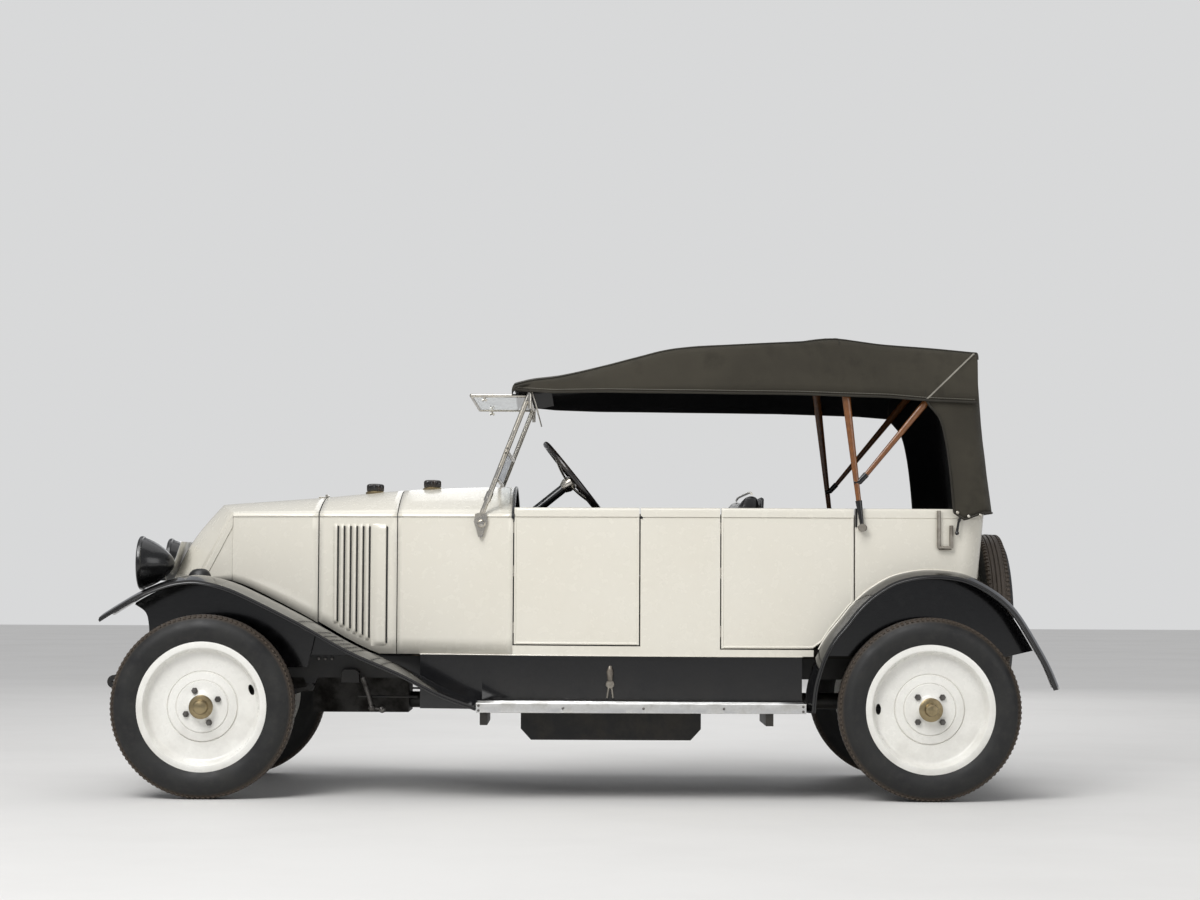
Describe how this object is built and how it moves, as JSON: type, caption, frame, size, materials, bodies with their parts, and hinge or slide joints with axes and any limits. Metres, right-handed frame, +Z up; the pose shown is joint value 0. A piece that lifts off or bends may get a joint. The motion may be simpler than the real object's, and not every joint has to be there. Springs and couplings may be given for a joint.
{
  "type": "open four-door touring car",
  "caption": "1920s open touring car with disc wheels, sloping bonnet, canvas top on wooden bows, opening doors and working steering.",
  "frame": {"origin": "on the ground under the centre of the overall box", "axes": "-X is the car's front, -Y its left side, +Z up"},
  "size_m": [3.8396, 1.4, 1.884],
  "materials": {
    "body_paint": "gloss",
    "black_paint": "gloss",
    "chassis_paint": "satin",
    "wheel_paint": "gloss",
    "tyre": "matt",
    "engine_metal": "matt",
    "floor_mat": "matt",
    "dash_wood": "varnished",
    "bow_wood": "varnished",
    "seat_leather": "satin",
    "top_canvas": "matt",
    "nickel": "satin",
    "black_iron": "satin",
    "board_metal": "worn",
    "clear_glass": "gloss",
    "bakelite": "gloss",
    "cap_metal": "dark"
  },
  "bodies": {
    "car": {"chassis_frame": "chassis_paint", "front_axle": "chassis_paint", "rear_axle": "chassis_paint", "springs": "chassis_paint", "engine_block": "engine_metal", "underfloor_box": "chassis_paint", "radiator_cowl": "body_paint", "scuttle": "body_paint", "tub": "body_paint", "floor": "floor_mat", "dashboard": "dash_wood", "front_seat": "seat_leather", "rear_seat": "seat_leather", "steering_column": "black_iron", "windscreen_frame": "nickel", "windscreen_glass": "clear_glass", "canvas_top": "top_canvas", "top_bows": "bow_wood", "top_irons": "black_iron", "front_wings": "black_paint", "rear_wings": "black_paint", "front_apron": "black_paint", "running_boards": "board_metal", "side_aprons": "black_paint", "headlamps": "black_paint", "lamp_glass": "clear_glass", "filler_caps": "cap_metal", "spare_wheel": "wheel_paint", "spare_tyre": "tyre", "spare_carrier": "chassis_paint"},
    "bonnet": {"bonnet": "body_paint", "nose_plate": "body_paint"},
    "front_left_door": {"front_left_door": "body_paint"},
    "front_right_door": {"front_right_door": "body_paint"},
    "rear_left_door": {"rear_left_door": "body_paint"},
    "rear_right_door": {"rear_right_door": "body_paint"},
    "steering_wheel": {"steering_wheel": "bakelite"},
    "left_knuckle": {"left_knuckle": "chassis_paint"},
    "right_knuckle": {"right_knuckle": "chassis_paint"},
    "tie_rod": {"tie_rod": "chassis_paint"},
    "front_left_wheel": {"front_left_wheel": "wheel_paint", "front_left_tyre": "tyre"},
    "front_right_wheel": {"front_right_wheel": "wheel_paint", "front_right_tyre": "tyre"},
    "rear_left_wheel": {"rear_left_wheel": "wheel_paint", "rear_left_tyre": "tyre"},
    "rear_right_wheel": {"rear_right_wheel": "wheel_paint", "rear_right_tyre": "tyre"}
  },
  "joints": [
    {"name": "left_steer", "type": "hinge", "parent": "car", "child": "left_knuckle", "pos_m": [-1.488, -0.54, 0.365], "axis": [0, 0, 1], "range_deg": [-28, 28]},
    {"name": "right_steer", "type": "hinge", "parent": "car", "child": "right_knuckle", "pos_m": [-1.488, 0.54, 0.365], "axis": [0, 0, 1], "range_deg": [-28, 28]},
    {"name": "tie_rod_swivel", "type": "hinge", "parent": "left_knuckle", "child": "tie_rod", "pos_m": [-1.338, -0.54, 0.3], "axis": [0, 0, 1], "range_deg": [-28, 28]},
    {"name": "steering_wheel_turn", "type": "hinge", "parent": "car", "child": "steering_wheel", "pos_m": [-0.041, -0.25, 1.268], "axis": [0.779, 0, 0.627], "range_deg": [-340, 340]},
    {"name": "front_left_spin", "type": "hinge", "parent": "left_knuckle", "child": "front_left_wheel", "pos_m": [-1.488, -0.61, 0.365], "axis": [0, 1, 0], "continuous": true},
    {"name": "front_right_spin", "type": "hinge", "parent": "right_knuckle", "child": "front_right_wheel", "pos_m": [-1.488, 0.61, 0.365], "axis": [0, 1, 0], "continuous": true},
    {"name": "rear_left_spin", "type": "hinge", "parent": "car", "child": "rear_left_wheel", "pos_m": [1.402, -0.61, 0.365], "axis": [0, 1, 0], "continuous": true},
    {"name": "rear_right_spin", "type": "hinge", "parent": "car", "child": "rear_right_wheel", "pos_m": [1.402, 0.61, 0.365], "axis": [0, 1, 0], "continuous": true},
    {"name": "bonnet_lid", "type": "hinge", "parent": "car", "child": "bonnet", "pos_m": [-1.063, 0, 1.2217], "axis": [0, 1, 0], "range_deg": [0, 60]},
    {"name": "front_left_door_hinge", "type": "hinge", "parent": "car", "child": "front_left_door", "pos_m": [-0.2605, -0.4898, 0.88], "axis": [0, 0, -1], "range_deg": [0, 70]},
    {"name": "front_right_door_hinge", "type": "hinge", "parent": "car", "child": "front_right_door", "pos_m": [-0.2605, 0.4898, 0.88], "axis": [0, 0, 1], "range_deg": [0, 70]},
    {"name": "rear_left_door_hinge", "type": "hinge", "parent": "car", "child": "rear_left_door", "pos_m": [0.5725, -0.5628, 0.88], "axis": [0, 0, -1], "range_deg": [0, 70]},
    {"name": "rear_right_door_hinge", "type": "hinge", "parent": "car", "child": "rear_right_door", "pos_m": [0.5725, 0.5628, 0.88], "axis": [0, 0, 1], "range_deg": [0, 70]}
  ],
  "couplings": [
    {"joint": "right_steer", "follows": "left_steer", "ratio": 1},
    {"joint": "tie_rod_swivel", "follows": "left_steer", "ratio": -1},
    {"joint": "steering_wheel_turn", "follows": "left_steer", "ratio": 12}
  ]
}
